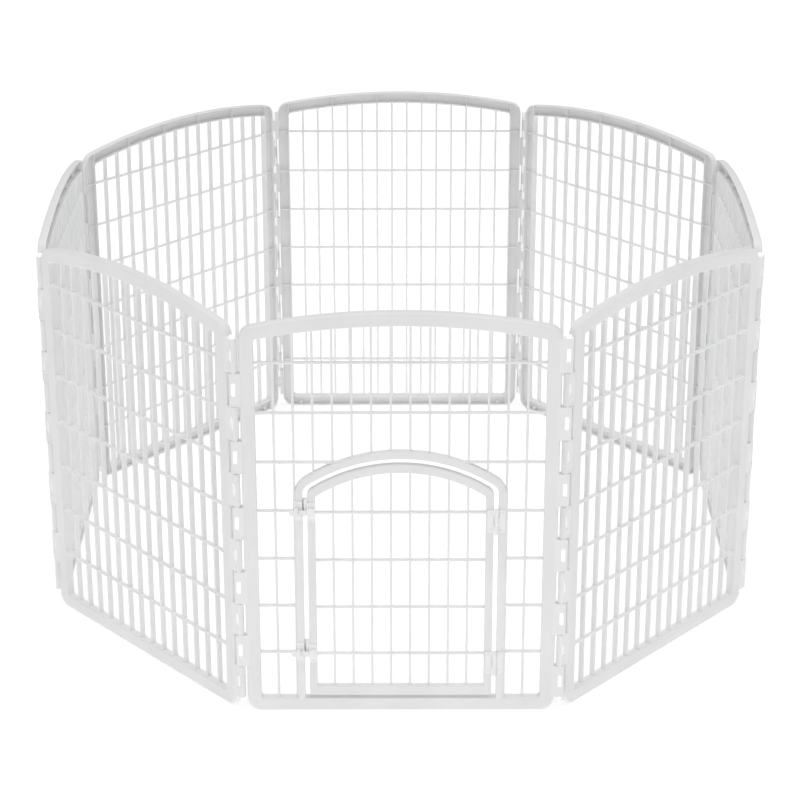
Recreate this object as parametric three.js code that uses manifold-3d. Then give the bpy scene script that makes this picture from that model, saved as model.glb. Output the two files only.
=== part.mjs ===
// A folding pet playpen: eight moulded lattice panels in a ring, joined at the corners by
// connecting rods that lift out, with an arched door in the front panel.
// Millimetres, +Z up. The floor is Z = 0 and the ring's centre is the origin.
import * as THREE from "three";
import { mergeVertices } from "three/addons/utils/BufferGeometryUtils.js";
import Module from "manifold-3d";

const wasm = await Module();
wasm.setup();

// The ring: eight equal sides, a little longer from front to back than from side to side.
const PITCH = 645; // from one corner axis to the next
const FRONT_TURN = THREE.MathUtils.degToRad(47.6); // outside angle at the front and back corners

// A panel, drawn as seen from outside: X to the right, Z up, Y = 0 through the corner axes.
// Its frame is a channel, closed on the outside and open towards the inside of the pen.
const OUTER_Y = -7.5;
const INNER_Y = 11;
const FRAME_WIDTH = 28;
const SKIN = 2.5;
const CORNER_RADIUS = 28;
const WINDOW_CORNER_RADIUS = 7;
const PANEL = {
  half: 310.5,
  bottom: 0,
  crown: 864,
  radius: 1496,
  fillet: CORNER_RADIUS,
  foot: CORNER_RADIUS,
};
const WINDOW = inset(PANEL, FRAME_WIDTH, WINDOW_CORNER_RADIUS);

// The lattice inside the frame.
const BARS = 14;
const BAR_WIDTH = 4.6;
const BAR_PITCH = 38;
const CROSSBARS = 7;
const CROSSBAR_HEIGHT = 4;
const CROSSBAR_PITCH = 104.65;
const FIRST_CROSSBAR_Z = 131.4;
const PLAIN_PANEL_STEP = 2; // a plain panel's solid carries every second crossbar
const LATTICE_OUTER_Y = -3.5;
const LATTICE_INNER_Y = 6;

// Corner knuckles and the rods through them.
const KNUCKLES = 11;
const KNUCKLE_TOP_Z = 811;
const KNUCKLE_PITCH = 71;
const KNUCKLE_GAP = 1;
const KNUCKLE_DEPTH = -OUTER_Y; // before and behind the corner axis
const KNUCKLE_NOSE = 8.8; // how far an eye reaches past the corner axis
const KNUCKLE_OUTER_ROUND = 2.6;
const KNUCKLE_INNER_ROUND = 7;
const ROD_RADIUS = 3.4;
const ROD_BORE_RADIUS = 4.6;
const ROD_TIP_Z = 16;
const ROD_TIP_LENGTH = 9;
const ROD_HEAD_RADIUS = 5.6;
const ROD_HEAD_HEIGHT = 5;
const ROD_HEAD_CHAMFER = 1.5;

// The doorway's rim and the door, both arched.
const DOORWAY = { half: 193, bottom: FRAME_WIDTH, crown: 559, radius: 326, fillet: 24, foot: 0 };
const DOORWAY_RIM = 16;
const DOORWAY_INNER_Y = 7.5;
const DOOR = { half: 184.5, bottom: 35.5, crown: 547.5, radius: 318, fillet: 20, foot: 5 };
const DOOR_INNER_Y = 6.5;
const DOOR_WINDOW = { half: 168, bottom: 56, crown: 529.5, radius: 300, fillet: 8, foot: 2 };
const DOOR_BARS = 8;
const DOOR_CROSSBARS = 4;
const DOOR_CROSSBAR_DROP = 3.4; // below the panel's own crossbars

// Pieces that touch keep this gap, so a plate on the front of a frame starts at PLATE_BACK_Y.
const GAP = 0.3;
const PLATE_THICKNESS = 2;
const PLATE_BACK_Y = OUTER_Y - GAP;
const PLATE_FRONT_Y = PLATE_BACK_Y - PLATE_THICKNESS;

// Door hinges, on the right: two leaves, a three-part barrel and a pin.
const HINGES = { upper: 426, lower: 110.5 };
const HINGE_X = 188.75;
const HINGE_Y = -11.5;
const LEAF_HALF_HEIGHT = 24.5;
const DOOR_LEAF_EDGE_X = 170.5;
const FRAME_LEAF_EDGE_X = 205.5;
const TONGUE_REACH = 2.6; // how near the barrel's axis a leaf's tongue comes
const BARREL_RADIUS = 4.2;
const BARREL_HALF_HEIGHT = 27;
const BARREL_MIDDLE_HALF_HEIGHT = 9.2;
const BARREL_BORE_RADIUS = 2.2;
const PIN_RADIUS = 1.5;
const PIN_HEAD_RADIUS = 3;
const PIN_HEAD_HEIGHT = 1.5;
const RIVET_X = { door: 177.4, frame: 199.3 };
const RIVET_RISE = 18.3;
const RIVET_SHANK_RADIUS = 1.1;
const RIVET_HOLE_RADIUS = 1.7;
const RIVET_HEAD_RADIUS = 2.4;
const RIVET_HEAD_HEIGHT = 1.2;
const RIVET_DEPTH = 4.5;

// Latches, on the left: a housing on the doorway's rim, a sliding bolt and a keeper on the door.
// The plates of housing and keeper sit a little above and below the bolt's centre.
const LATCHES = { upper: 446.5, lower: 133 };
const HOUSING = { x: -201, halfWidth: 7.8, halfHeight: 20.8, rise: 3 };
const KEEPER = { x: -176, halfWidth: 7.6, halfHeight: 21.2, rise: -1.5 };
const KEEPER_POCKET_END_X = -171.4;
const GUIDE_HALF_HEIGHT = 9.5;
const GUIDE_DEPTH = 7.2;
const BOLT_LEFT_X = -217.5;
const BOLT_RIGHT_X = -186;
const BOLT_HALF_HEIGHT = 5.8;
const BOLT_THICKNESS = 4;
const BOLT_CLEARANCE = 0.5;
const BOLT_BACK_CLEARANCE = 1;
const BOLT_BACK_Y = PLATE_FRONT_Y - BOLT_BACK_CLEARANCE;
const BOLT_FRONT_Y = BOLT_BACK_Y - BOLT_THICKNESS;
const KNOB_X = -200;
const KNOB_RADIUS = 2.6;
const KNOB_LENGTH = 5;
const EAR_WIDTH = 3.5;
const EAR_INNER_Y = 1;
const EAR_TOP = 31;

const MATERIALS = {
  panel: plastic(0xe4e4e4, 0.55),
  rod: plastic(0xf4f4f4, 0.45),
  hardware: plastic(0xededed, 0.4),
};

// Panels anticlockwise from the front, seen from above. Each carries the rod at its right end.
const RING = [
  { name: "front", turn: 0, rod: "front_right_front" },
  { name: "front_right", turn: FRONT_TURN, rod: "right_front" },
  { name: "right", turn: Math.PI / 2, rod: "right_back" },
  { name: "back_right", turn: Math.PI - FRONT_TURN, rod: "back_right" },
  { name: "back", turn: Math.PI, rod: "back_left" },
  { name: "back_left", turn: Math.PI + FRONT_TURN, rod: "left_back" },
  { name: "left", turn: 1.5 * Math.PI, rod: "left_front" },
  { name: "front_left", turn: 2 * Math.PI - FRONT_TURN, rod: "front_left" },
];

function plastic(color, roughness) {
  return new THREE.MeshStandardMaterial({ color, roughness, metalness: 0 });
}

function toSolid(geometry) {
  const bare = geometry.clone();
  bare.deleteAttribute("normal");
  bare.deleteAttribute("uv");
  const merged = mergeVertices(bare, 1e-4);
  return new wasm.Manifold(
    new wasm.Mesh({
      numProp: 3,
      vertProperties: merged.attributes.position.array,
      triVerts: new Uint32Array(merged.index.array),
    }),
  );
}

function toGeometry(solid) {
  const mesh = solid.getMesh();
  const positions = new THREE.BufferAttribute(mesh.vertProperties, 3);
  const geometry = new THREE.BufferGeometry().setAttribute("position", positions);
  geometry.setIndex(new THREE.BufferAttribute(mesh.triVerts, 1));
  const faceted = geometry.toNonIndexed();
  faceted.computeVertexNormals();
  return faceted;
}

// A shape in X and Z made solid from one Y to another.
function slab(shape, fromY, toY) {
  const geometry = new THREE.ExtrudeGeometry(shape, { depth: toY - fromY, bevelEnabled: false });
  return toSolid(geometry.rotateX(Math.PI / 2).translate(0, toY, 0));
}

// A shape in X and Y made solid from one Z to another.
function column(shape, fromZ, toZ) {
  const geometry = new THREE.ExtrudeGeometry(shape, { depth: toZ - fromZ, bevelEnabled: false });
  return toSolid(geometry.translate(0, 0, fromZ));
}

function block(x0, x1, y0, y1, z0, z1) {
  const geometry = new THREE.BoxGeometry(x1 - x0, y1 - y0, z1 - z0);
  return toSolid(geometry.translate((x0 + x1) / 2, (y0 + y1) / 2, (z0 + z1) / 2));
}

// A solid of revolution about Z, from [radius, z] pairs listed upwards.
function turned(profile, sides) {
  const points = profile.map(([radius, z]) => new THREE.Vector2(radius, z));
  return new THREE.LatheGeometry(points, sides).rotateX(Math.PI / 2);
}

function arcPoints(x, y, radius, from, to, steps) {
  if (radius === 0) return [new THREE.Vector2(x, y)];
  const points = [];
  for (let i = 0; i <= steps; i++) {
    const angle = from + ((to - from) * i) / steps;
    points.push(new THREE.Vector2(x + radius * Math.cos(angle), y + radius * Math.sin(angle)));
  }
  return points;
}

function polygon(x, y, radius, sides) {
  return arcPoints(x, y, radius, 0, 2 * Math.PI, sides).slice(0, sides);
}

// Upright sides, a flat foot and an arched top. fillet rounds the top corners, foot the lower ones.
function archedShape({ half, bottom, crown, radius, fillet, foot }) {
  const centreZ = crown - radius;
  const filletX = half - fillet;
  const filletZ = centreZ + Math.sqrt((radius - fillet) ** 2 - filletX ** 2);
  const shoulder = Math.atan2(filletZ - centreZ, filletX);
  return new THREE.Shape([
    ...arcPoints(half - foot, bottom + foot, foot, -Math.PI / 2, 0, 3),
    ...arcPoints(filletX, filletZ, fillet, 0, shoulder, 3),
    ...arcPoints(0, centreZ, radius, shoulder, Math.PI - shoulder, 8).slice(1, -1),
    ...arcPoints(-filletX, filletZ, fillet, Math.PI - shoulder, Math.PI, 3),
    ...arcPoints(-half + foot, bottom + foot, foot, Math.PI, 1.5 * Math.PI, 3),
  ]);
}

// The same outline moved inwards all round, with corners of a given radius.
function inset(outline, distance, corner) {
  return {
    half: outline.half - distance,
    bottom: outline.bottom + distance,
    crown: outline.crown - distance,
    radius: outline.radius - distance,
    fillet: corner,
    foot: corner,
  };
}

function archHeight({ crown, radius }, x) {
  return crown - radius + Math.sqrt(radius ** 2 - x ** 2);
}

// One window of the lattice, cut square at the foot and to the slope of the arch at the top.
function latticeWindow(x0, x1, z0, z1Left, z1Right) {
  const corners = [[x0, z0], [x1, z0], [x1, z1Right], [x0, z1Left]];
  const shape = new THREE.Shape(corners.map(([x, z]) => new THREE.Vector2(x, z)));
  return slab(shape, LATTICE_OUTER_Y - 1, LATTICE_INNER_Y + 1);
}

// A plate pierced by windows that leave the bars and crossbars. Its rim is buried in the wall
// round the outline: the plate ends 2 mm into the wall and the outermost windows 1 mm into it.
function lattice(outline, barXs, crossbarZs) {
  const plate = slab(archedShape(inset(outline, -2, 2)), LATTICE_OUTER_Y, LATTICE_INNER_Y);
  const reach = inset(outline, -1, 0);
  const lefts = [-reach.half, ...barXs.map((x) => x + BAR_WIDTH / 2)];
  const rights = [...barXs.map((x) => x - BAR_WIDTH / 2), reach.half];
  const feet = [reach.bottom, ...crossbarZs.map((z) => z + CROSSBAR_HEIGHT / 2)];
  const windows = [];
  lefts.forEach((x0, i) => {
    const x1 = rights[i];
    feet.forEach((z0, j) => {
      const top = crossbarZs[j] - CROSSBAR_HEIGHT / 2;
      const arched = j === crossbarZs.length;
      const topLeft = arched ? archHeight(reach, x0) : top;
      const topRight = arched ? archHeight(reach, x1) : top;
      windows.push(latticeWindow(x0, x1, z0, topLeft, topRight));
    });
  });
  return plate.subtract(windows.reduce((all, window) => all.add(window)));
}

function barPositions(count) {
  return Array.from({ length: count }, (_, i) => (i - (count - 1) / 2) * BAR_PITCH);
}

function crossbarPositions(count) {
  return Array.from({ length: count }, (_, i) => FIRST_CROSSBAR_Z + i * CROSSBAR_PITCH);
}

function panelFrame() {
  const outerWall = inset(PANEL, SKIN, CORNER_RADIUS - SKIN);
  const innerWall = inset(PANEL, FRAME_WIDTH - SKIN, WINDOW_CORNER_RADIUS + SKIN);
  const channel = slab(archedShape(outerWall), OUTER_Y + SKIN, INNER_Y + 1)
    .subtract(slab(archedShape(innerWall), OUTER_Y, INNER_Y + 2));
  return slab(archedShape(PANEL), OUTER_Y, INNER_Y)
    .subtract(channel)
    .subtract(slab(archedShape(WINDOW), OUTER_Y - 1, INNER_Y + 1));
}

// A moulded eye round the corner axis, rooted in the frame. side is 1 at the right end, -1 at
// the left one, and slots count from the top.
function knuckle(side, slot) {
  const top = KNUCKLE_TOP_Z - slot * KNUCKLE_PITCH - KNUCKLE_GAP / 2;
  const bottom = top - KNUCKLE_PITCH + KNUCKLE_GAP;
  const root = PANEL.half - PITCH / 2 - SKIN / 2;
  const [outer, inner, quarter] = [KNUCKLE_OUTER_ROUND, KNUCKLE_INNER_ROUND, Math.PI / 2];
  const shape = new THREE.Shape([
    new THREE.Vector2(root, -KNUCKLE_DEPTH),
    ...arcPoints(KNUCKLE_NOSE - outer, outer - KNUCKLE_DEPTH, outer, -quarter, 0, 2),
    ...arcPoints(KNUCKLE_NOSE - inner, KNUCKLE_DEPTH - inner, inner, 0, quarter, 2),
    new THREE.Vector2(root, KNUCKLE_DEPTH),
  ]);
  shape.holes.push(new THREE.Path(polygon(0, 0, ROD_BORE_RADIUS, 6)));
  const eye = column(shape, bottom, top);
  const handedEye = side > 0 ? eye : eye.mirror([1, 0, 0]);
  return handedEye.translate([(side * PITCH) / 2, 0, 0]);
}

function addKnuckles(solid) {
  for (let slot = 0; slot < KNUCKLES; slot++) {
    solid = solid.add(knuckle(slot % 2 === 0 ? 1 : -1, slot));
  }
  return solid;
}

function plainPanel() {
  const crossbars = crossbarPositions(CROSSBARS).filter((_, i) => i % PLAIN_PANEL_STEP === 1);
  return addKnuckles(panelFrame().add(lattice(WINDOW, barPositions(BARS), crossbars)));
}

function rivetHole(x, z) {
  const shape = new THREE.Shape(polygon(x, z, RIVET_HOLE_RADIUS, 6));
  return slab(shape, PLATE_FRONT_Y - 1, OUTER_Y + RIVET_DEPTH + GAP);
}

function drill(solid, x, hingeZs) {
  for (const hingeZ of hingeZs) {
    solid = solid.subtract(rivetHole(x, hingeZ - RIVET_RISE));
    solid = solid.subtract(rivetHole(x, hingeZ + RIVET_RISE));
  }
  return solid;
}

function doorPanel() {
  const rim = inset(DOORWAY, -DOORWAY_RIM, DOORWAY.fillet + DOORWAY_RIM);
  rim.bottom = FRAME_WIDTH - SKIN / 2;
  rim.foot = 0;
  const opened = panelFrame()
    .add(lattice(WINDOW, barPositions(BARS), crossbarPositions(CROSSBARS)))
    .add(slab(archedShape(rim), OUTER_Y, DOORWAY_INNER_Y))
    .subtract(slab(archedShape(DOORWAY), OUTER_Y - 1, INNER_Y + 1));
  return drill(addKnuckles(opened), RIVET_X.frame, Object.values(HINGES));
}

function door() {
  const rim = slab(archedShape(DOOR), OUTER_Y, DOOR_INNER_Y)
    .subtract(slab(archedShape(DOOR_WINDOW), OUTER_Y - 1, DOOR_INNER_Y + 1));
  const crossbars = crossbarPositions(DOOR_CROSSBARS).map((z) => z - DOOR_CROSSBAR_DROP);
  const grille = lattice(DOOR_WINDOW, barPositions(DOOR_BARS), crossbars);
  return drill(rim.add(grille), RIVET_X.door, Object.values(HINGES));
}

function connectingRod() {
  const headZ = KNUCKLE_TOP_Z + GAP;
  const topZ = headZ + ROD_HEAD_HEIGHT;
  const profile = [
    [0, ROD_TIP_Z],
    [ROD_RADIUS, ROD_TIP_Z + ROD_TIP_LENGTH],
    [ROD_RADIUS, headZ],
    [ROD_HEAD_RADIUS, headZ],
    [ROD_HEAD_RADIUS, topZ - ROD_HEAD_CHAMFER],
    [ROD_HEAD_RADIUS - ROD_HEAD_CHAMFER, topZ],
    [0, topZ],
  ];
  return turned(profile, 8);
}

// One part of the barrel, with the tongue that joins it to its leaf.
function addBarrelPart(leaf, plateX, tongueX, fromZ, toZ) {
  const from = Math.max(fromZ, -LEAF_HALF_HEIGHT);
  const to = Math.min(toZ, LEAF_HALF_HEIGHT);
  const x0 = Math.min(plateX, tongueX);
  const x1 = Math.max(plateX, tongueX);
  const round = new THREE.Shape(polygon(HINGE_X, HINGE_Y, BARREL_RADIUS, 10));
  const bore = new THREE.Shape(polygon(HINGE_X, HINGE_Y, BARREL_BORE_RADIUS, 6));
  return leaf
    .add(block(x0, x1, PLATE_FRONT_Y, PLATE_BACK_Y, from, to))
    .add(column(round, fromZ, toZ))
    .subtract(column(bore, fromZ - 1, toZ + 1));
}

function leafPlate(x0, x1) {
  return block(x0, x1, PLATE_FRONT_Y, PLATE_BACK_Y, -LEAF_HALF_HEIGHT, LEAF_HALF_HEIGHT);
}

function doorLeaf() {
  const edge = HINGE_X - BARREL_RADIUS - GAP;
  const middle = BARREL_MIDDLE_HALF_HEIGHT;
  const plate = leafPlate(DOOR_LEAF_EDGE_X, edge);
  const leaf = addBarrelPart(plate, edge - 1, HINGE_X - TONGUE_REACH, -middle, middle);
  return drill(leaf, RIVET_X.door, [0]);
}

function frameLeaf() {
  const edge = HINGE_X + BARREL_RADIUS + GAP;
  const start = BARREL_MIDDLE_HALF_HEIGHT + GAP;
  const end = BARREL_HALF_HEIGHT;
  let leaf = leafPlate(edge, FRAME_LEAF_EDGE_X);
  leaf = addBarrelPart(leaf, edge + 1, HINGE_X + TONGUE_REACH, -end, -start);
  leaf = addBarrelPart(leaf, edge + 1, HINGE_X + TONGUE_REACH, start, end);
  return drill(leaf, RIVET_X.frame, [0]);
}

function hingePin() {
  const end = BARREL_HALF_HEIGHT + GAP;
  const profile = [
    [0, -end - PIN_HEAD_HEIGHT],
    [PIN_HEAD_RADIUS, -end - PIN_HEAD_HEIGHT],
    [PIN_HEAD_RADIUS, -end],
    [PIN_RADIUS, -end],
    [PIN_RADIUS, end],
    [PIN_HEAD_RADIUS, end],
    [PIN_HEAD_RADIUS, end + PIN_HEAD_HEIGHT],
    [0, end + PIN_HEAD_HEIGHT],
  ];
  return turned(profile, 8);
}

// Turned along Z with its head up, then laid over so that the head faces outwards.
function rivet() {
  const footZ = -OUTER_Y - RIVET_DEPTH;
  const headZ = -PLATE_FRONT_Y + GAP;
  const profile = [
    [0, footZ],
    [RIVET_SHANK_RADIUS, footZ],
    [RIVET_SHANK_RADIUS, headZ],
    [RIVET_HEAD_RADIUS, headZ],
    [RIVET_HEAD_RADIUS / 2, headZ + RIVET_HEAD_HEIGHT],
    [0, headZ + RIVET_HEAD_HEIGHT],
  ];
  return turned(profile, 6).rotateX(Math.PI / 2);
}

// A plate with a raised guide across it, and a tunnel through the guide from its left side.
function boltGuide({ x, halfWidth, halfHeight, rise }, tunnelEndX) {
  const x0 = x - halfWidth;
  const x1 = x + halfWidth;
  const plate = block(x0, x1, PLATE_FRONT_Y, PLATE_BACK_Y, rise - halfHeight, rise + halfHeight);
  const guide = block(
    x0, x1, PLATE_FRONT_Y - GUIDE_DEPTH, PLATE_FRONT_Y + 1, -GUIDE_HALF_HEIGHT, GUIDE_HALF_HEIGHT,
  );
  const side = BOLT_HALF_HEIGHT + BOLT_CLEARANCE;
  const front = BOLT_FRONT_Y - BOLT_CLEARANCE;
  const tunnel = block(x0 - 1, tunnelEndX, front, PLATE_FRONT_Y, -side, side);
  return plate.add(guide).subtract(tunnel);
}

// The housing's slot lets the knob travel, and its ear laps the edge of the doorway's rim.
function latchHousing() {
  const right = HOUSING.x + HOUSING.halfWidth;
  const knobSide = KNOB_RADIUS + 0.6;
  const slot = block(
    KNOB_X - knobSide, right + 1, PLATE_FRONT_Y - GUIDE_DEPTH - 1, BOLT_BACK_Y, -knobSide, knobSide,
  );
  const ear0 = -DOORWAY.half + GAP;
  const ear1 = ear0 + EAR_WIDTH;
  const plateTop = HOUSING.rise + HOUSING.halfHeight;
  const bridge = block(right - 1, ear1, PLATE_FRONT_Y, PLATE_BACK_Y, GUIDE_HALF_HEIGHT, plateTop);
  const ear = block(ear0, ear1, PLATE_FRONT_Y, EAR_INNER_Y, GUIDE_HALF_HEIGHT, EAR_TOP);
  return boltGuide(HOUSING, right + 1).subtract(slot).add(bridge).add(ear);
}

function latchBolt() {
  const bar = block(
    BOLT_LEFT_X, BOLT_RIGHT_X, BOLT_FRONT_Y, BOLT_BACK_Y, -BOLT_HALF_HEIGHT, BOLT_HALF_HEIGHT,
  );
  const knob = new THREE.Shape(polygon(KNOB_X, 0, KNOB_RADIUS, 8));
  return bar.add(slab(knob, BOLT_FRONT_Y - KNOB_LENGTH, BOLT_FRONT_Y + 1));
}

function latchKeeper() {
  return boltGuide(KEEPER, KEEPER_POCKET_END_X);
}

function place(group, name, geometry, material, x = 0, y = 0, z = 0) {
  const mesh = new THREE.Mesh(geometry, material);
  mesh.name = name;
  mesh.position.set(x, y, z);
  group.add(mesh);
}

function addHinges(group) {
  const doorSide = toGeometry(doorLeaf());
  const frameSide = toGeometry(frameLeaf());
  const pin = hingePin();
  const head = rivet();
  for (const [level, z] of Object.entries(HINGES)) {
    place(group, `hinge_leaf_door_${level}`, doorSide, MATERIALS.hardware, 0, 0, z);
    place(group, `hinge_leaf_frame_${level}`, frameSide, MATERIALS.hardware, 0, 0, z);
    place(group, `hinge_pin_${level}`, pin, MATERIALS.hardware, HINGE_X, HINGE_Y, z);
    for (const [leaf, x] of Object.entries(RIVET_X)) {
      place(group, `rivet_${level}_${leaf}_low`, head, MATERIALS.hardware, x, 0, z - RIVET_RISE);
      place(group, `rivet_${level}_${leaf}_high`, head, MATERIALS.hardware, x, 0, z + RIVET_RISE);
    }
  }
}

function addLatches(group) {
  const housing = toGeometry(latchHousing());
  const bolt = toGeometry(latchBolt());
  const keeper = toGeometry(latchKeeper());
  for (const [level, z] of Object.entries(LATCHES)) {
    place(group, `latch_housing_${level}`, housing, MATERIALS.hardware, 0, 0, z);
    place(group, `latch_bolt_${level}`, bolt, MATERIALS.hardware, 0, 0, z);
    place(group, `latch_keeper_${level}`, keeper, MATERIALS.hardware, 0, 0, z);
  }
}

function playpen() {
  const pen = new THREE.Group();
  const plain = toGeometry(plainPanel());
  const rod = connectingRod();
  const depth = PITCH * (1 + 2 * Math.sin(FRONT_TURN));
  const corner = new THREE.Vector2(-PITCH / 2, -depth / 2);
  for (const { name, turn, rod: rodName } of RING) {
    const side = new THREE.Vector2(PITCH * Math.cos(turn), PITCH * Math.sin(turn));
    const group = new THREE.Group();
    group.position.set(corner.x + side.x / 2, corner.y + side.y / 2, 0);
    group.rotation.z = turn;
    const geometry = name === "front" ? toGeometry(doorPanel()) : plain;
    place(group, `${name}_panel`, geometry, MATERIALS.panel);
    place(group, `rod_${rodName}`, rod, MATERIALS.rod, PITCH / 2);
    if (name === "front") {
      place(group, "door", toGeometry(door()), MATERIALS.panel);
      addHinges(group);
      addLatches(group);
    }
    pen.add(group);
    corner.add(side);
  }
  return pen;
}

export default playpen();
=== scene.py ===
import math
from typing import NamedTuple

import bmesh
import bpy
from mathutils import Matrix, Vector


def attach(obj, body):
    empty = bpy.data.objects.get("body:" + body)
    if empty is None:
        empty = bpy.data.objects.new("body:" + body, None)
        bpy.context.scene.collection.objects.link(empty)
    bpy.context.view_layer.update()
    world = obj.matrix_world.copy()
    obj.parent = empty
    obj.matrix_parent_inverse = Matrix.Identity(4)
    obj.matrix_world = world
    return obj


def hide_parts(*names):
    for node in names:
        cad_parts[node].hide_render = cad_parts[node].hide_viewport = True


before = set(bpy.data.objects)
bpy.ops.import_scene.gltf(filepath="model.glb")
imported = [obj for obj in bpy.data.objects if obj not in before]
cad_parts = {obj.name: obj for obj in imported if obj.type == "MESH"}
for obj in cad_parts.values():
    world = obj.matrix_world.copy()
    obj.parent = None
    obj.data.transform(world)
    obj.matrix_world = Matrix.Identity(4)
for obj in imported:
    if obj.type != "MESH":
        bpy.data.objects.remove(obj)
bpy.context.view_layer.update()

# Lengths below are millimetres, drawn in a panel's own frame as seen from outside the pen:
# X to the right, Y inwards, Z up, with Y = 0 through the corner axes.
MM = 0.001


class Outline(NamedTuple):
    """Upright sides, a flat foot and an arched top. fillet rounds the top corners, foot the others."""
    half: float
    bottom: float
    crown: float
    radius: float
    fillet: float
    foot: float


# The panels, the doorway and the door.
PITCH = 645.0
PANEL = Outline(half=310.5, bottom=0, crown=864, radius=1496, fillet=28, foot=28)
WINDOW = Outline(half=282.5, bottom=28, crown=836, radius=1468, fillet=7, foot=7)
DOORWAY = Outline(half=193, bottom=28, crown=559, radius=326, fillet=24, foot=0)
DOORWAY_RIM = Outline(half=207.6, bottom=28, crown=575, radius=342, fillet=40, foot=0)
DOORWAY_END_Z = 26.0
DOOR = Outline(half=183.6, bottom=35.5, crown=547.5, radius=318, fillet=20, foot=5)
DOOR_WINDOW = Outline(half=168, bottom=56, crown=529.5, radius=300, fillet=8, foot=2)

# The rails' channels: their faces, floors and walls.
OUTER_Y = -7.5
INNER_Y = 11.0
SKIN = 2.5
FRAME_FLOOR_Y = -0.5
RIM_FLOOR_Y = -3.0
DOORWAY_INNER_Y = 7.5
DOOR_INNER_Y = 6.5
FRAME_ROUND = 5.0
FRAME_INNER_ROUND = 2.2
RIM_ROUND = 2.4
RIM_INNER_ROUND = 2.0

# The lattice, and the ribs and bosses in the channels.
BARS = 14
CROSSBARS = 7
DOOR_BARS = 8
DOOR_CROSSBARS = 4
BAR_PITCH = 38.0
BAR_WIDTH = 4.6
CROSSBAR_PITCH = 104.65
CROSSBAR_HEIGHT = 4.0
FIRST_CROSSBAR_Z = 131.4
DOOR_CROSSBAR_DROP = 3.4
CROSSBAR_FRONT_Y = -3.5
CROSSBAR_BACK_Y = 6.0
BAR_FRONT_Y = -2.2
BAR_BACK_Y = 9.4
BAR_ROUND = 1.2
BURIED = 1.2
RIB_FRONT_Y = -5.5
RIB_BACK_Y = 8.4
RIB_HALF_THICKNESS = 0.9
BOSS_X = 263.0
BOSS_Z = 7.0

# The corners: knuckles, and the rods through them.
KNUCKLES = 11
KNUCKLE_TOP_Z = 811.0
KNUCKLE_PITCH = 71.0
KNUCKLE_GAP = 1.0
KNUCKLE_BACK_Y = 7.5
KNUCKLE_NOSE = 8.8
KNUCKLE_OUTER_ROUND = 3.0
KNUCKLE_INNER_ROUND = 7.2
KNUCKLE_WINDOW_HALF = 14.0
KNUCKLE_WINDOW_WIDTH = 8.2
ROD_RADIUS = 4.5
ROD_END_RADIUS = 3.4
BORE_RADIUS = 4.7

# The door's hinges and latches.
PLATE_BACK_Y = -7.8
PLATE_FRONT_Y = -9.8
PLATE_ROUND = 2.0
HINGES = {"upper": 426.0, "lower": 110.5}
HINGE_X = 188.75
HINGE_Y = -11.5
LEAF_HALF_HEIGHT = 24.5
LEAF_TO_BARREL = 4.5
DOOR_LEAF_EDGE_X = 170.5
FRAME_LEAF_EDGE_X = 205.5
TONGUE_REACH = 2.6
BARREL_RADIUS = 4.2
BARREL_BORE_RADIUS = 1.9
BARREL_HALF_HEIGHT = 27.0
BARREL_MIDDLE_HALF_HEIGHT = 9.2
BARREL_GAP = 0.3
RIVET_X = {"door": 177.4, "frame": 199.3}
RIVET_RISES = {"low": -18.3, "high": 18.3}

LATCHES = {"upper": 446.5, "lower": 133.0}
HOUSING_X = -201.0
HOUSING_HALF_WIDTH = 7.8
HOUSING_LOW = -17.8
HOUSING_HIGH = 23.8
EAR_LEFT_X = -190.3
EAR_RIGHT_X = -184.7
EAR_LOW = -3.0
EAR_HIGH = 27.6
EAR_BACK_Y = 1.0
KEEPER_X = -176.0
KEEPER_HALF_WIDTH = 7.6
KEEPER_LOW = -21.7
KEEPER_HIGH = 20.8
POCKET_END_X = -171.2
KNOB_X = -198.6
GUIDE_HALF = 9.5
GUIDE_INNER_HALF = 6.3
GUIDE_TOP_Y = -17.0
GUIDE_ROOF_Y = -15.3
GUIDE_ROUND = 2.0
BOLT_LEFT_X = -219.2
BOLT_RIGHT_X = -184.0
BOLT_HALF_HEIGHT = 5.8
BOLT_NOSE_ROUND = 4.2
BOLT_FRONT_Y = -14.8
BOLT_BACK_Y = -10.8

# Each panel's body, how far it is turned from the front one in degrees, and its right-hand rod.
RING = (
    ("front", 0.0, "front_right_front"),
    ("front_right", 47.6, "right_front"),
    ("right", 90.0, "right_back"),
    ("back_right", 132.4, "back_right"),
    ("back", 180.0, "back_left"),
    ("back_left", 227.6, "left_back"),
    ("left", 270.0, "left_front"),
    ("front_left", 312.4, "front_left"),
)

CORNER_STEPS = 9
ARCH_STEPS = 44
ROUND_STEPS = 5


# ---------------------------------------------------------------- outlines and shells

def arc(x, z, radius, start, end, steps):
    angles = (start + (end - start) * i / steps for i in range(steps + 1))
    return [(x + radius * math.cos(a), z + radius * math.sin(a)) for a in angles]


def moved(outline, distance):
    """The outline moved inwards by a distance, or outwards where it is negative."""
    return Outline(
        outline.half - distance,
        outline.bottom + distance,
        outline.crown - distance,
        outline.radius - distance,
        max(outline.fillet - distance, 0.4),
        max(outline.foot - distance, 0.4),
    )


def arch_height(outline, x):
    return outline.crown - outline.radius + math.sqrt(outline.radius ** 2 - x ** 2)


def outline_height(outline, x):
    """How high an outline's top is at x, its rounded shoulders included."""
    shoulder_x, shoulder_z, _ = shoulder_of(outline)
    if x <= shoulder_x:
        return arch_height(outline, x)
    return shoulder_z + math.sqrt(max(outline.fillet ** 2 - (x - shoulder_x) ** 2, 0))


def outline_half_width(outline, z):
    """How wide an outline is at a height, from its middle."""
    _, shoulder_z, _ = shoulder_of(outline)
    if z <= shoulder_z:
        return outline.half
    centre = outline.crown - outline.radius
    return min(outline.half, math.sqrt(outline.radius ** 2 - (z - centre) ** 2))


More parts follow.
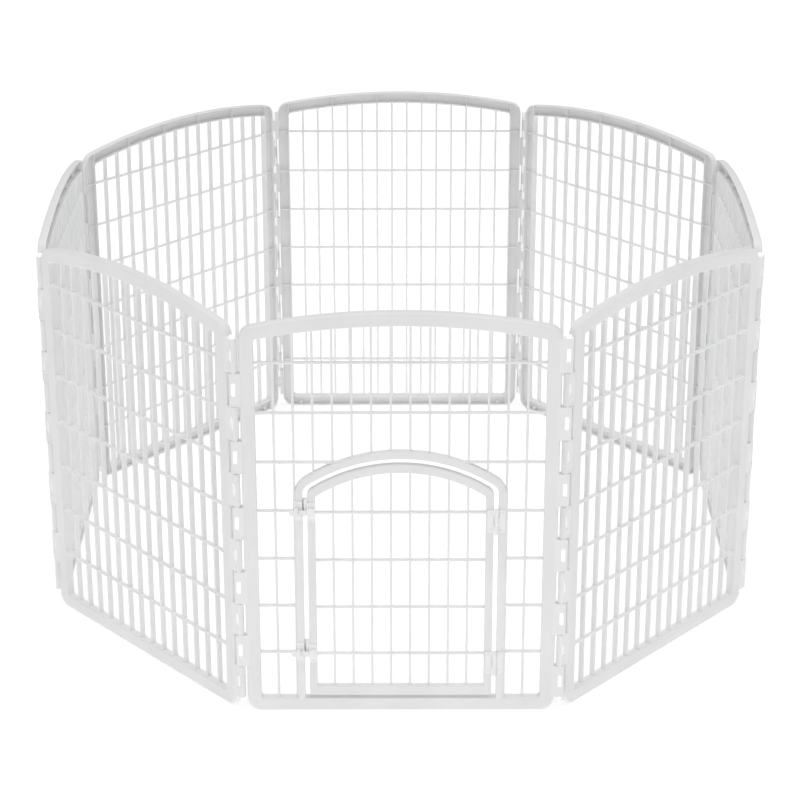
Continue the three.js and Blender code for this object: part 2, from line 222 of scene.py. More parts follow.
def shoulder_of(outline):
    """The centre of the rounded shoulder, and the angle at which the arch takes over from it."""
    centre = outline.crown - outline.radius
    x = outline.half - outline.fillet
    z = centre + math.sqrt((outline.radius - outline.fillet) ** 2 - x ** 2)
    return x, z, math.atan2(z - centre, x)


def arched_path(outline):
    """Points right round an outline, the same number for every outline."""
    upper = arched_top(outline)
    foot = outline.foot
    lower = arc(outline.half - foot, outline.bottom + foot, foot, -math.pi / 2, 0, CORNER_STEPS)
    return lower + upper + [(-x, z) for x, z in reversed(lower)]


def arched_top(outline):
    x, z, shoulder = shoulder_of(outline)
    corner = arc(x, z, outline.fillet, 0, shoulder, CORNER_STEPS)
    centre = outline.crown - outline.radius
    top = arc(0, centre, outline.radius, shoulder, math.pi - shoulder, ARCH_STEPS)[1:-1]
    return corner + top + [(-x, z) for x, z in reversed(corner)]


def hoop_path(outline):
    """Points up one side, over the arch and down the other."""
    end = (outline.half, DOORWAY_END_Z)
    other_end = (-outline.half, DOORWAY_END_Z)
    return [end] + arched_top(outline) + [other_end]


def swept(path_of, section, closed):
    """A rail: every point of its cross-section runs along its own outline."""
    shell = bmesh.new()
    loops = []
    for outline, distance, y in section:
        points = path_of(moved(outline, distance))
        loops.append([shell.verts.new((x, y, z)) for x, z in points])
    count = len(loops[0])
    for loop, following in zip(loops, loops[1:] + loops[:1]):
        for i in range(count if closed else count - 1):
            k = (i + 1) % count
            shell.faces.new((loop[i], loop[k], following[k], following[i]))
    if not closed:
        shell.faces.new([loop[0] for loop in loops])
        shell.faces.new([loop[-1] for loop in reversed(loops)])
    return shell


def rail_section(outer, inner, back_y, floor_y, outer_round, inner_round):
    """A channel's cross-section: closed towards the outside of the pen, open inwards."""
    lip = 0.6
    section = []
    for i in range(ROUND_STEPS + 1):
        turn = math.pi / 2 * i / ROUND_STEPS
        depth = OUTER_Y + outer_round * (1 - math.sin(turn))
        section.append((outer, outer_round * (1 - math.cos(turn)), depth))
    for i in range(ROUND_STEPS + 1):
        turn = math.pi / 2 * i / ROUND_STEPS
        depth = OUTER_Y + inner_round * (1 - math.cos(turn))
        section.append((inner, -inner_round * (1 - math.sin(turn)), depth))
    return section + [
        (inner, 0, back_y - lip),
        (inner, -lip, back_y),
        (inner, lip - SKIN, back_y),
        (inner, -SKIN, back_y - lip),
        (inner, -SKIN, floor_y + lip),
        (inner, -SKIN - lip, floor_y),
        (outer, SKIN + lip, floor_y),
        (outer, SKIN, floor_y + lip),
        (outer, SKIN, back_y - lip),
        (outer, SKIN - lip, back_y),
        (outer, lip, back_y),
        (outer, 0, back_y - lip),
    ]


def prism(points, low, high, axis="Z"):
    """A flat outline made solid: X and Y pairs along Z, X and Z pairs along Y, Y and Z along X."""
    at = {
        "X": lambda a, b, d: (d, a, b),
        "Y": lambda a, b, d: (a, d, b),
        "Z": lambda a, b, d: (a, b, d),
    }[axis]
    shell = bmesh.new()
    lower = [shell.verts.new(at(a, b, low)) for a, b in points]
    upper = [shell.verts.new(at(a, b, high)) for a, b in points]
    shell.faces.new(reversed(lower))
    shell.faces.new(upper)
    for i in range(len(points)):
        k = (i + 1) % len(points)
        shell.faces.new((lower[i], lower[k], upper[k], upper[i]))
    bmesh.ops.recalc_face_normals(shell, faces=shell.faces)
    return shell


def rectangle(a0, a1, b0, b1, radius=0.0, steps=4):
    if not radius:
        return [(a0, b0), (a1, b0), (a1, b1), (a0, b1)]
    quarter = math.pi / 2
    return (
        arc(a1 - radius, b0 + radius, radius, -quarter, 0, steps)
        + arc(a1 - radius, b1 - radius, radius, 0, quarter, steps)
        + arc(a0 + radius, b1 - radius, radius, quarter, 2 * quarter, steps)
        + arc(a0 + radius, b0 + radius, radius, 2 * quarter, 3 * quarter, steps)
    )


def circle(x, y, radius, steps):
    return arc(x, y, radius, 0, 2 * math.pi, steps)[:-1]


def box(x0, x1, y0, y1, z0, z1):
    return prism(rectangle(x0, x1, y0, y1), z0, z1)


def turned(profile, steps, place=Matrix.Identity(4)):
    """A solid of revolution about Z, from (radius, z) pairs that start and end on the axis."""
    shell = bmesh.new()
    first = shell.verts.new((0, 0, profile[0][1]))
    last = shell.verts.new((0, 0, profile[-1][1]))
    rings = []
    for radius, z in profile[1:-1]:
        rings.append([shell.verts.new((x, y, z)) for x, y in circle(0, 0, radius, steps)])
    for i in range(steps):
        k = (i + 1) % steps
        shell.faces.new((first, rings[0][k], rings[0][i]))
        shell.faces.new((last, rings[-1][i], rings[-1][k]))
        for lower, upper in zip(rings, rings[1:]):
            shell.faces.new((lower[i], lower[k], upper[k], upper[i]))
    shell.transform(place)
    return shell


def soften(shell, width, segments=2, sharper_than=35):
    """Rounds a shell's sharp edges."""
    limit = math.radians(sharper_than)
    edges = [e for e in shell.edges if e.is_manifold and e.calc_face_angle(0) > limit]
    bmesh.ops.bevel(
        shell, geom=edges, offset=width, segments=segments, profile=0.5,
        affect="EDGES", clamp_overlap=True,
    )
    return shell


def mesh_from(shells):
    mesh = bpy.data.meshes.new("part")
    whole = bmesh.new()
    for shell in shells:
        shell.to_mesh(mesh)
        whole.from_mesh(mesh)
        shell.free()
    whole.to_mesh(mesh)
    whole.free()
    return mesh


def cut(base, tools):
    """What is left of the base when the tools are taken away, as one shell."""
    pieces = []
    for shells in ([base], tools):
        piece = bpy.data.objects.new("piece", mesh_from(shells))
        bpy.context.scene.collection.objects.link(piece)
        pieces.append(piece)
    boolean = pieces[0].modifiers.new("cut", "BOOLEAN")
    boolean.object = pieces[1]
    boolean.operation = "DIFFERENCE"
    boolean.solver = "EXACT"
    boolean.use_self = True
    bpy.context.view_layer.update()
    result = pieces[0].evaluated_get(bpy.context.evaluated_depsgraph_get()).to_mesh()
    shell = bmesh.new()
    shell.from_mesh(result)
    for piece in pieces:
        mesh = piece.data
        bpy.data.objects.remove(piece)
        bpy.data.meshes.remove(mesh)
    bmesh.ops.remove_doubles(shell, verts=shell.verts, dist=0.01)
    flat = math.radians(1)
    bmesh.ops.dissolve_limit(shell, angle_limit=flat, verts=shell.verts, edges=shell.edges)
    return shell


def shifted(shell, x, z):
    copy = shell.copy()
    copy.transform(Matrix.Translation((x, 0, z)))
    return copy


# ---------------------------------------------------------------- lattice

def positions(count, pitch):
    return [(i - (count - 1) / 2) * pitch for i in range(count)]


def crossbar_heights(count):
    return [FIRST_CROSSBAR_Z + i * CROSSBAR_PITCH for i in range(count)]


def upright(x, low, high, back_y):
    half = BAR_WIDTH / 2
    section = rectangle(x - half, x + half, BAR_FRONT_Y, back_y, BAR_ROUND, 3)
    return prism(section, low, high)


def crossbar(z, left, right, back_y):
    half = CROSSBAR_HEIGHT / 2
    section = rectangle(CROSSBAR_FRONT_Y, back_y, z - half, z + half, BAR_ROUND, 3)
    return prism(section, left, right, "X")


def lattice(outline, bar_xs, crossbar_zs, deepest=INNER_Y, hole=None):
    """Uprights and crossbars with their ends buried in the wall round them, clear of a hole."""
    reach = moved(outline, -BURIED)
    edge = moved(hole, BURIED) if hole else None
    cross_back = min(CROSSBAR_BACK_Y, deepest - 1)
    shells = []
    for x in bar_xs:
        low, back = reach.bottom, min(BAR_BACK_Y, deepest - 1)
        if edge and abs(x) < edge.half:
            low = outline_height(edge, abs(x) + BAR_WIDTH / 4)
            back = min(back, DOORWAY_INNER_Y - 1)
        shells.append(upright(x, low, arch_height(reach, x), back))
    for z in crossbar_zs:
        if edge and z < edge.crown:
            gap = outline_half_width(edge, z)
            shells.append(crossbar(z, -reach.half, -gap, cross_back))
            shells.append(crossbar(z, gap, reach.half, cross_back))
        else:
            shells.append(crossbar(z, -reach.half, reach.half, cross_back))
    return shells


# ---------------------------------------------------------------- panels

def channel_ribs():
    """Thin ribs across the frame's channel, and a low boss near each end of the bottom rail."""
    near = 1.3
    far = 26.7
    back = RIB_BACK_Y
    half = RIB_HALF_THICKNESS
    ribs = []
    for side in (-1, 1):
        ends = sorted((side * (PANEL.half - near), side * (PANEL.half - far)))
        for z in crossbar_heights(CROSSBARS):
            ribs.append(box(*ends, RIB_FRONT_Y, back, z - half, z + half))
        x = side * (PANEL.half - far)
        top = arch_height(PANEL, x)
        ribs.append(box(x - half, x + half, RIB_FRONT_Y, back + 1.6, top - far - 6, top - near))
        ribs.append(box(x - half, x + half, RIB_FRONT_Y, back + 1.6, near, far + 6))
        boss = turned([(0, -6), (4.7, -6), (4.7, 5.2), (4.1, 6), (2.2, 6), (1.9, 5), (0, 4.6)], 24)
        place = Matrix.Translation((side * BOSS_X, 0, BOSS_Z))
        boss.transform(place @ Matrix.Rotation(-math.pi / 2, 4, "X"))
        ribs.append(boss)
    for x in positions(BARS, BAR_PITCH)[2::3]:
        top = arch_height(PANEL, x)
        ribs.append(box(x - half, x + half, RIB_FRONT_Y, back, top - far, top - near))
        ribs.append(box(x - half, x + half, RIB_FRONT_Y, back - 8, near, far))
    return [soften(rib, 0.35, 1) if len(rib.verts) == 8 else rib for rib in ribs]


def knuckle():
    """The eye at a panel's right end, round the corner axis. Its outer wall is open in the middle
    and its inner wall above and below that, so that the rod shows from both sides."""
    edge = PANEL.half - PITCH / 2
    root = edge - SKIN / 2
    face = edge - FRAME_ROUND
    half_height = (KNUCKLE_PITCH - KNUCKLE_GAP) / 2
    quarter = math.pi / 2
    outer, inner = KNUCKLE_OUTER_ROUND, KNUCKLE_INNER_ROUND
    corner = arc(KNUCKLE_NOSE - outer, OUTER_Y + outer, outer, -quarter, 0, 5)
    heel = arc(KNUCKLE_NOSE - inner, KNUCKLE_BACK_Y - inner, inner, 0, quarter, 8)
    buried_y = OUTER_Y + SKIN - 0.3
    outline = [(face, OUTER_Y)] + corner + heel
    outline += [(root, KNUCKLE_BACK_Y), (root, buried_y), (face, buried_y)]
    body = prism(outline, -half_height, half_height)
    bore = prism(circle(0, 0, BORE_RADIUS, 24), -half_height - 1, half_height + 1)
    wide = KNUCKLE_WINDOW_WIDTH / 2
    window = box(-wide, wide, -9, 0, -KNUCKLE_WINDOW_HALF, KNUCKLE_WINDOW_HALF)
    upper = box(-wide, wide, 0, 9, KNUCKLE_WINDOW_HALF, half_height + 1)
    lower = box(-wide, wide, 0, 9, -half_height - 1, -KNUCKLE_WINDOW_HALF)
    eye = cut(body, [bore])
    eye = cut(eye, [window])
    eye = cut(eye, [upper, lower])
    return soften(eye, 0.6, 2)


def knuckle_row():
    right = knuckle()
    left = right.copy()
    left.transform(Matrix.Diagonal((-1, 1, 1, 1)))
    row = []
    for slot in range(KNUCKLES):
        z = KNUCKLE_TOP_Z - (slot + 0.5) * KNUCKLE_PITCH
        if slot % 2 == 0:
            row.append(shifted(right, PITCH / 2, z))
        else:
            row.append(shifted(left, -PITCH / 2, z))
    right.free()
    left.free()
    return row


def panel_frame():
    section = rail_section(PANEL, WINDOW, INNER_Y, FRAME_FLOOR_Y, FRAME_ROUND, FRAME_INNER_ROUND)
    return swept(arched_path, section, closed=True)


def plain_panel_shells():
    grid = lattice(WINDOW, positions(BARS, BAR_PITCH), crossbar_heights(CROSSBARS))
    return [panel_frame()] + grid + channel_ribs() + knuckle_row()


def front_panel_shells():
    bar_xs = positions(BARS, BAR_PITCH)
    grid = lattice(WINDOW, bar_xs, crossbar_heights(CROSSBARS), hole=DOORWAY_RIM)
    section = rail_section(
        DOORWAY_RIM, DOORWAY, DOORWAY_INNER_Y, RIM_FLOOR_Y, RIM_ROUND, RIM_INNER_ROUND
    )
    rim = swept(hoop_path, section, closed=False)
    return [panel_frame(), rim] + grid + channel_ribs() + knuckle_row()


def door_shells():
    section = rail_section(
        DOOR, DOOR_WINDOW, DOOR_INNER_Y, RIM_FLOOR_Y, RIM_ROUND, RIM_INNER_ROUND
    )
    crossbars = [z - DOOR_CROSSBAR_DROP for z in crossbar_heights(DOOR_CROSSBARS)]
    grid = lattice(DOOR_WINDOW, positions(DOOR_BARS, BAR_PITCH), crossbars, DOOR_INNER_Y)
    return [swept(arched_path, section, closed=True)] + grid


def rod_shells():
    """The connecting rod: a domed head, a plain shank and a pointed tip."""
    head = KNUCKLE_TOP_Z + 0.3
    profile = [
        (0, 16.0), (0.7, 16.6), (ROD_END_RADIUS - 0.5, 23.5), (ROD_END_RADIUS, 25.5),
        (ROD_END_RADIUS, 31.0), (ROD_RADIUS, 35.0), (ROD_RADIUS, head),
        (5.1, head), (5.6, head + 0.5), (5.6, head + 2.6), (5.1, head + 3.9), (4.0, head + 4.7),
        (2.4, head + 5.0), (0, head + 5.0),
    ]
    return [turned(profile, 28)]


# ---------------------------------------------------------------- hinges and latches

def leaf_shells(edge_x, side, spans):
    """A hinge leaf on one side of the barrel, -1 or 1, with its own parts of the barrel."""
    half = LEAF_HALF_HEIGHT
    near_x = HINGE_X + side * LEAF_TO_BARREL
    left, right = sorted((edge_x, near_x))
    plate = prism(rectangle(left, right, -half, half, 1.4), PLATE_FRONT_Y, PLATE_BACK_Y, "Y")
    tongue = sorted((near_x + side, HINGE_X + side * TONGUE_REACH))
    parts = []
    for low, high in spans:
        tongue_low, tongue_high = max(low, -half + 1), min(high, half - 1)
        parts.append(box(*tongue, PLATE_FRONT_Y, PLATE_BACK_Y - 0.02, tongue_low, tongue_high))
        barrel = prism(circle(HINGE_X, HINGE_Y, BARREL_RADIUS, 28), low, high)
        bore = prism(circle(HINGE_X, HINGE_Y, BARREL_BORE_RADIUS, 20), low - 1, high + 1)
        parts.append(soften(cut(barrel, [bore]), 0.4, 2, 50))
    return [soften(plate, 0.5, 2)] + parts


def pin_shells():
    """The hinge's pin, with a domed head at each end."""
    end = BARREL_HALF_HEIGHT + BARREL_GAP
    profile = [
        (0, -end - 1.5), (1.8, -end - 1.4), (2.7, -end - 0.9), (3.0, -end - 0.2), (3.0, -end),
        (1.5, -end), (1.5, end), (3.0, end), (3.0, end + 0.2), (2.7, end + 0.9),
        (1.8, end + 1.4), (0, end + 1.5),
    ]
    return [turned(profile, 24, Matrix.Translation((HINGE_X, HINGE_Y, 0)))]


def rivet_shells():
    """A dome-headed rivet along Y, its head outwards, at the origin's X and Z."""
    foot = 3.0
    head = 10.1
    profile = [
        (0, foot), (1.1, foot), (1.1, head), (2.3, head), (2.4, head + 0.15), (2.1, head + 0.6),
        (1.5, head + 0.95), (0.8, head + 1.15), (0, head + 1.2),
    ]
    return [turned(profile, 20, Matrix.Rotation(math.pi / 2, 4, "X"))]


def guide_outline():
    """Y and Z pairs round the outside of the bridge over the bolt."""
    round_y, round_z = GUIDE_TOP_Y + GUIDE_ROUND, GUIDE_HALF - GUIDE_ROUND
    crown = arc(round_y, round_z, GUIDE_ROUND, math.pi / 2, math.pi, 4)
    upper = [(PLATE_FRONT_Y + 0.3, GUIDE_HALF)] + crown
    return upper + [(y, -z) for y, z in reversed(upper)]


def guide_section():
    """The bridge over the bolt, open towards the plate."""
    foot = PLATE_FRONT_Y + 0.3
    half = GUIDE_INNER_HALF
    return guide_outline() + [(foot, -half), (GUIDE_ROOF_Y, -half), (GUIDE_ROOF_Y, half), (foot, half)]


def dome(x, z, radius, height):
    profile = [(0, -0.5)] + [
        (radius * math.cos(t), height * math.sin(t)) for t in (0, 0.3, 0.6, 0.9, 1.2, 1.4)
    ] + [(0, height)]
    place = Matrix.Translation((x, PLATE_FRONT_Y, z)) @ Matrix.Rotation(math.pi / 2, 4, "X")
    return turned(profile, 20, place)


def ridge(x, z, half_width, thick, height):
    """A raised band across a plate, rounded over."""
    points = [(PLATE_FRONT_Y + 0.3, z - thick), (PLATE_FRONT_Y + 0.3, z + thick)]
    for i in range(7):
        turn = math.pi * i / 6
        points.append((PLATE_FRONT_Y - height * math.sin(turn), z + thick * math.cos(turn)))
    return soften(prism(points, x - half_width, x + half_width, "X"), 0.3, 1, 60)


def housing_shells():
    """The plate on the doorway's rim with the bolt's guide, and the ear beside it in the gap."""
    left, right = HOUSING_X - HOUSING_HALF_WIDTH, HOUSING_X + HOUSING_HALF_WIDTH
    outline = rectangle(left, right, HOUSING_LOW, HOUSING_HIGH, PLATE_ROUND)
    plate = prism(outline, PLATE_FRONT_Y, PLATE_BACK_Y, "Y")
    guide = prism(guide_section(), left + 0.4, right - 0.4, "X")
    slot = box(KNOB_X - 3.2, right + 1, -18, -12, -3.2, 3.2)
    notch = prism(rectangle(KNOB_X - 3.0, KNOB_X + 3.0, -18.5, PLATE_FRONT_Y + 0.1), 2.5, 12)
    guide = cut(guide, [slot, notch])
    section = rectangle(EAR_LEFT_X, EAR_RIGHT_X, PLATE_FRONT_Y, EAR_BACK_Y, 0.9, 3)
    ear = prism(section, EAR_LOW, EAR_HIGH)
    web = box(right - 1.4, EAR_LEFT_X + 1.2, -1.5, EAR_BACK_Y, EAR_LOW + 0.4, EAR_HIGH - 0.4)
    return [
        soften(plate, 0.5, 2),
        soften(guide, 0.45, 2),
        soften(web, 0.3, 1),
        soften(ear, 0.4, 2),
        ridge(HOUSING_X, 14.4, 6.6, 1.5, 1.5),
        dome(HOUSING_X, 19.6, 2.4, 1.3),
        dome(HOUSING_X, -13.6, 2.4, 1.3),
    ]


def bolt_shells():
    """The sliding bar, rounded at its free end, with its knob."""
    right, half, nose = BOLT_RIGHT_X, BOLT_HALF_HEIGHT, BOLT_NOSE_ROUND
    outline = (
        [(right, -half + 1), (right, half - 1), (right - 1, half)]
        + arc(BOLT_LEFT_X + nose, half - nose, nose, math.pi / 2, math.pi, 6)
        + arc(BOLT_LEFT_X + nose, -half + nose, nose, math.pi, 1.5 * math.pi, 6)
        + [(right - 1, -half)]
    )
    bar = soften(prism(outline, BOLT_FRONT_Y, BOLT_BACK_Y, "Y"), 0.7, 3)
    profile = [
        (0, 13.5), (2.2, 13.5), (2.2, 17.2), (2.6, 17.9), (2.6, 19.0), (2.2, 19.6), (1.5, 19.8),
        (0.9, 19.6), (0, 19.5),
    ]
    place = Matrix.Translation((KNOB_X, 0, 0)) @ Matrix.Rotation(math.pi / 2, 4, "X")
    return [bar, turned(profile, 24, place)]


def keeper_shells():
    """The plate on the door with the pocket that takes the bolt, closed at its right end."""
    left, right = KEEPER_X - KEEPER_HALF_WIDTH, KEEPER_X + KEEPER_HALF_WIDTH
    outline = rectangle(left, right, KEEPER_LOW, KEEPER_HIGH, PLATE_ROUND)
    plate = prism(outline, PLATE_FRONT_Y, PLATE_BACK_Y, "Y")
    guide = prism(guide_section(), left + 0.3, POCKET_END_X, "X")
    closed_end = prism(guide_outline(), POCKET_END_X - 0.3, right - 0.3, "X")
    return [
        soften(plate, 0.5, 2),
        soften(guide, 0.45, 2),
        soften(closed_end, 0.45, 2),
        ridge(KEEPER_X, 11.9, 6.4, 1.3, 1.3),
        ridge(KEEPER_X, -12.4, 6.4, 1.3, 1.3),
        dome(KEEPER_X, 16.3, 2.2, 1.2),
        dome(KEEPER_X, -18.2, 2.2, 1.2),
    ]


# ---------------------------------------------------------------- materials

class Tree:
    """Shorthand for building a material's nodes."""

    def __init__(self, material):
        material.use_nodes = True
        self.nodes = material.node_tree.nodes
        self.links = material.node_tree.links
        self.nodes.clear()

    def add(self, kind, **values):
        node = self.nodes.new(kind)
        for name, value in values.items():
            if name in node.inputs:
                node.inputs[name].default_value = value
            else:
                setattr(node, name, value)
        return node

    def link(self, source, target):
        self.links.new(source, target)

    def remap(self, source, low, high, to_low, to_high):
        """A value taken from one range to another."""
        node = self.add("ShaderNodeMapRange")
        for socket, value in (("From Min", low), ("From Max", high), ("To Min", to_low), ("To Max", to_high)):
            node.inputs[socket].default_value = value
        self.link(source, node.inputs["Value"])
        return node


def moulded_plastic(name, light, dark, roughness, grain, coat=0.0, painted_glow=0.0):
    """Satin moulded plastic: faint flow clouding in its colour, an uneven gloss, and a fine
    spark-eroded grain over slow sink marks. A painted glow adds light of its own, though the part is no lamp."""
    material = bpy.data.materials.new(name)
    tree = Tree(material)
    place = tree.add("ShaderNodeTexCoord")
    clouds = tree.add("ShaderNodeTexNoise", Scale=9.0, Detail=4.0, Roughness=0.55)
    speckle = tree.add("ShaderNodeTexNoise", Scale=420.0, Detail=2.0, Roughness=0.6)
    fine = tree.add("ShaderNodeTexNoise", Scale=1500.0, Detail=2.0, Roughness=0.5)
    sink = tree.add("ShaderNodeTexNoise", Scale=22.0, Detail=1.0, Roughness=0.4)
    for node in (clouds, speckle, fine, sink):
        tree.link(place.outputs["Object"], node.inputs["Vector"])
    tint = tree.add("ShaderNodeValToRGB")
    tint.color_ramp.elements[0].position = 0.32
    tint.color_ramp.elements[0].color = (*dark, 1)
    tint.color_ramp.elements[1].position = 0.68
    tint.color_ramp.elements[1].color = (*light, 1)
    tree.link(clouds.outputs["Fac"], tint.inputs["Fac"])

    # Edges rubbed a little lighter as wear; hollows darkened with painted shade.
    form = tree.add("ShaderNodeNewGeometry")
    rubbed_edges_and_painted_shade = tree.remap(form.outputs["Pointiness"], 0.46, 0.56, 0.955, 1.03)
    shade = tree.add("ShaderNodeMix", data_type="RGBA", blend_type="MULTIPLY")
    shade.inputs[0].default_value = 1.0
    tree.link(tint.outputs["Color"], shade.inputs[6])
    tree.link(rubbed_edges_and_painted_shade.outputs["Result"], shade.inputs[7])

    gloss = tree.remap(speckle.outputs["Fac"], 0.3, 0.7, roughness - 0.06, roughness + 0.07)

    slow = tree.add("ShaderNodeBump", Strength=0.35, Distance=0.0006)
    tree.link(sink.outputs["Fac"], slow.inputs["Height"])
    skin = tree.add("ShaderNodeBump", Strength=grain, Distance=0.00008)
    tree.link(fine.outputs["Fac"], skin.inputs["Height"])
    tree.link(slow.outputs["Normal"], skin.inputs["Normal"])

    shader = tree.add("ShaderNodeBsdfPrincipled")
    shader.inputs["IOR"].default_value = 1.49
    shader.inputs["Coat Weight"].default_value = coat
    shader.inputs["Coat Roughness"].default_value = 0.25
    shader.inputs["Emission Color"].default_value = (1, 1, 1, 1)
    # Emission paints light: the part glows though it is no lamp.
    shader.inputs["Emission Strength"].default_value = painted_glow
    tree.link(shade.outputs[2], shader.inputs["Base Color"])
    tree.link(gloss.outputs["Result"], shader.inputs["Roughness"])
    tree.link(skin.outputs["Normal"], shader.inputs["Normal"])
    output = tree.add("ShaderNodeOutputMaterial")
    tree.link(shader.outputs["BSDF"], output.inputs["Surface"])
    return material


def floor_material():
    material = bpy.data.materials.new("floor_pale")
    tree = Tree(material)
    place = tree.add("ShaderNodeTexCoord")
    clouds = tree.add("ShaderNodeTexNoise", Scale=0.6, Detail=2.0)
    tree.link(place.outputs["Object"], clouds.inputs["Vector"])
    tint = tree.add("ShaderNodeValToRGB")
    tint.color_ramp.elements[0].color = (0.93, 0.93, 0.93, 1)
    tint.color_ramp.elements[1].color = (0.95, 0.95, 0.95, 1)
    tree.link(clouds.outputs["Fac"], tint.inputs["Fac"])
    shader = tree.add("ShaderNodeBsdfPrincipled")
    shader.inputs["Roughness"].default_value = 0.9
    shader.inputs["Specular IOR Level"].default_value = 0.1
    shader.inputs["Emission Color"].default_value = (1, 1, 1, 1)
    shader.inputs["Emission Strength"].default_value = FLOOR_GLOW
    tree.link(tint.outputs["Color"], shader.inputs["Base Color"])
    output = tree.add("ShaderNodeOutputMaterial")
    tree.link(shader.outputs["BSDF"], output.inputs["Surface"])
    return material


PANEL_PLASTIC = moulded_plastic(
    "panel_plastic_white", (0.92, 0.92, 0.922), (0.88, 0.88, 0.883), roughness=0.5, grain=0.35
)
# The rod glows with painted light, so it reads white inside the shaded knuckle windows.
ROD_PLASTIC = moulded_plastic(
    "rod_plastic_white", (0.95, 0.95, 0.95), (0.92, 0.92, 0.92), roughness=0.4, grain=0.2,
    painted_glow=0.35,
)
HARDWARE_PLASTIC = moulded_plastic(
    "hardware_plastic_white", (0.965, 0.965, 0.965), (0.94, 0.94, 0.94), roughness=0.36, grain=0.2,
    coat=0.15,
)


# ---------------------------------------------------------------- building the pen

def finished_mesh(name, shells, material):
    whole = bmesh.new()
    part = bpy.data.meshes.new("part")
    for shell in shells:
        bmesh.ops.recalc_face_normals(shell, faces=shell.faces)
        shell.to_mesh(part)
        whole.from_mesh(part)
        shell.free()
    bpy.data.meshes.remove(part)
    whole.transform(Matrix.Scale(MM, 4))
    mesh = bpy.data.meshes.new(name)
    whole.to_mesh(mesh)
    whole.free()
    mesh.materials.append(material)
    mesh.shade_smooth()
    mesh.set_sharp_from_angle(angle=math.radians(38))
    return mesh


def put(name, mesh, place, body, slot, *nodes):
    """One piece: a copy of the mesh with its place baked in, as the CAD nodes have theirs."""
    mesh = mesh.copy()
    mesh.name = name
    mesh.transform(place)
    piece = bpy.data.objects.new(name, mesh)
    bpy.context.scene.collection.objects.link(piece)
    flat = piece.modifiers.new("weighted_normals", "WEIGHTED_NORMAL")
    flat.keep_sharp = True
    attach(piece, body)
    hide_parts(*nodes)


def ring_places():
    """Each panel's place: its middle, turned to face outwards."""
    turn = math.radians(RING[1][1])
    corner = Vector((-PITCH / 2, -PITCH * (1 + 2 * math.sin(turn)) / 2))
    places = {}
    for name, degrees, _ in RING:
        angle = math.radians(degrees)
        side = Vector((PITCH * math.cos(angle), PITCH * math.sin(angle)))
        middle = corner + side / 2
        places[name] = (
            Matrix.Translation((middle.x * MM, middle.y * MM, 0)) @ Matrix.Rotation(angle, 4, "Z")
        )
        corner += side
    return places


def at(place, x=0.0, z=0.0):
    return place @ Matrix.Translation((x * MM, 0, z * MM))


def build_pen():
    places = ring_places()
    plain = finished_mesh("panel", plain_panel_shells(), PANEL_PLASTIC)
    front = finished_mesh("front_panel", front_panel_shells(), PANEL_PLASTIC)
    rod = finished_mesh("rod", rod_shells(), ROD_PLASTIC)
    for name, _, rod_name in RING:
        mesh = front if name == "front" else plain
        put(f"{name}_panel_moulding", mesh, places[name], name, "panel_plastic", f"{name}_panel")
        put(f"rod_{rod_name}_pin", rod, at(places[name], x=PITCH / 2), f"rod_{rod_name}",
            "rod_plastic", f"rod_{rod_name}")
    door = finished_mesh("door", door_shells(), PANEL_PLASTIC)
    put("door_moulding", door, places["front"], "door", "panel_plastic", "door")
    return places["front"]


def build_hinges(front):
    middle, end = BARREL_MIDDLE_HALF_HEIGHT, BARREL_HALF_HEIGHT
    start = middle + BARREL_GAP
    door_shell = leaf_shells(DOOR_LEAF_EDGE_X, -1, [(-middle, middle)])
    frame_shell = leaf_shells(FRAME_LEAF_EDGE_X, 1, [(-end, -start), (start, end)])
    door_leaf = finished_mesh("door_leaf", door_shell, HARDWARE_PLASTIC)
    frame_leaf = finished_mesh("frame_leaf", frame_shell, HARDWARE_PLASTIC)
    pin = finished_mesh("pin", pin_shells(), HARDWARE_PLASTIC)
    rivet = finished_mesh("rivet", rivet_shells(), HARDWARE_PLASTIC)
    slot = "hardware_plastic"
    for level, z in HINGES.items():
        place = at(front, z=z)
        put(f"hinge_{level}_door_leaf", door_leaf, place, "door", slot, f"hinge_leaf_door_{level}")
        put(f"hinge_{level}_frame_leaf", frame_leaf, place, "front", slot, f"hinge_leaf_frame_{level}")
        put(f"hinge_{level}_pin", pin, place, "front", slot, f"hinge_pin_{level}")
        for leaf, body in (("door", "door"), ("frame", "front")):
            for side, rise in RIVET_RISES.items():
                spot = at(front, x=RIVET_X[leaf], z=z + rise)
                put(f"hinge_{level}_{leaf}_rivet_{side}", rivet, spot, body, slot,
                    f"rivet_{level}_{leaf}_{side}")


def build_latches(front):
    housing = finished_mesh("housing", housing_shells(), HARDWARE_PLASTIC)
    bolt = finished_mesh("bolt", bolt_shells(), HARDWARE_PLASTIC)
    keeper = finished_mesh("keeper", keeper_shells(), HARDWARE_PLASTIC)
    slot = "hardware_plastic"
    for level, z in LATCHES.items():
        place = at(front, z=z)
        put(f"latch_{level}_housing", housing, place, "front", slot, f"latch_housing_{level}")
        put(f"latch_{level}_bolt", bolt, place, f"bolt_{level}", slot, f"latch_bolt_{level}")
        put(f"latch_{level}_keeper", keeper, place, "door", slot, f"latch_keeper_{level}")


# ---------------------------------------------------------------- floor, light and camera

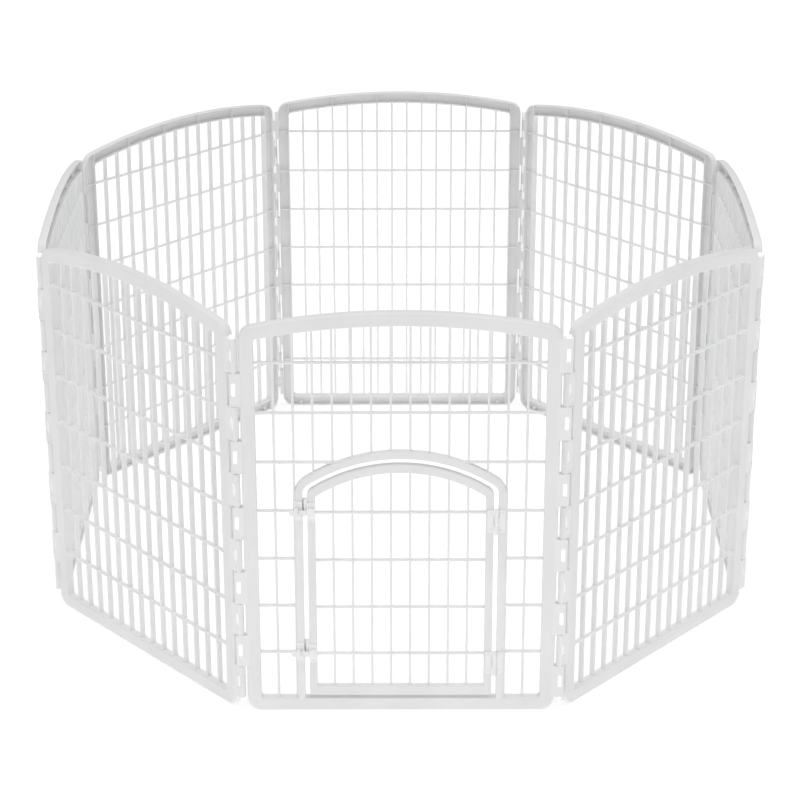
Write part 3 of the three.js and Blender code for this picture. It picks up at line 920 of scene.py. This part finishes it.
# Broad soft lights all round, from azimuth (0 is behind the camera) and elevation in degrees,
# with their energy and how wide they are.
SOFT_LIGHTS = (
    ("front_light", 0, 24, 0.21, 15),
    ("left_light", -60, 25, 0.11, 40),
    ("right_light", 60, 25, 0.11, 40),
    ("back_light", 180, 50, 0.12, 60),
    ("top_light", 0, 86, 1.56, 60),
)
SKY_STRENGTH = 0.27
FLOOR_GLOW = 0.31
FLOOR_HALF = 18.0
FLOOR_DROP = 0.0005

# The camera's place in metres, how far it looks down and turns in degrees, and its lens.
CAMERA_PLACE = (-0.008, -4.889, 2.4)
CAMERA_DOWN = 21.29
CAMERA_TURN = -0.127
CAMERA_LENS = 103.35
CAMERA_SHIFT = (-0.0014, -0.075)


def build_studio():
    shell = bmesh.new()
    bmesh.ops.create_grid(shell, x_segments=8, y_segments=8, size=FLOOR_HALF)
    mesh = bpy.data.meshes.new("floor")
    shell.to_mesh(mesh)
    shell.free()
    mesh.materials.append(floor_material())
    floor = bpy.data.objects.new("floor", mesh)
    bpy.context.scene.collection.objects.link(floor)
    floor.location = (0, 0, -FLOOR_DROP)

    world = bpy.data.worlds.new("studio")
    bpy.context.scene.world = world
    world.use_nodes = True
    sky = world.node_tree.nodes["Background"]
    sky.inputs["Color"].default_value = (0.985, 0.99, 1.0, 1)
    sky.inputs["Strength"].default_value = SKY_STRENGTH
    for name, azimuth, elevation, energy, angle in SOFT_LIGHTS:
        light = bpy.data.lights.new(name, "SUN")
        light.energy = energy
        light.angle = math.radians(angle)
        lamp = bpy.data.objects.new(name, light)
        bpy.context.scene.collection.objects.link(lamp)
        lamp.rotation_euler = (math.radians(90 - elevation), 0, math.radians(azimuth))

    camera = bpy.data.cameras.new("camera")
    camera.sensor_width = 36
    camera.lens = CAMERA_LENS
    camera.shift_x, camera.shift_y = CAMERA_SHIFT
    camera.clip_start = 0.05
    camera.clip_end = 100
    view = bpy.data.objects.new("camera", camera)
    bpy.context.scene.collection.objects.link(view)
    view.location = CAMERA_PLACE
    view.rotation_euler = (math.radians(90 - CAMERA_DOWN), 0, math.radians(CAMERA_TURN))
    bpy.context.scene.camera = view

    bpy.context.scene.view_settings.view_transform = "Standard"
    bpy.context.scene.view_settings.look = "None"


front_place = build_pen()
build_hinges(front_place)
build_latches(front_place)
build_studio()
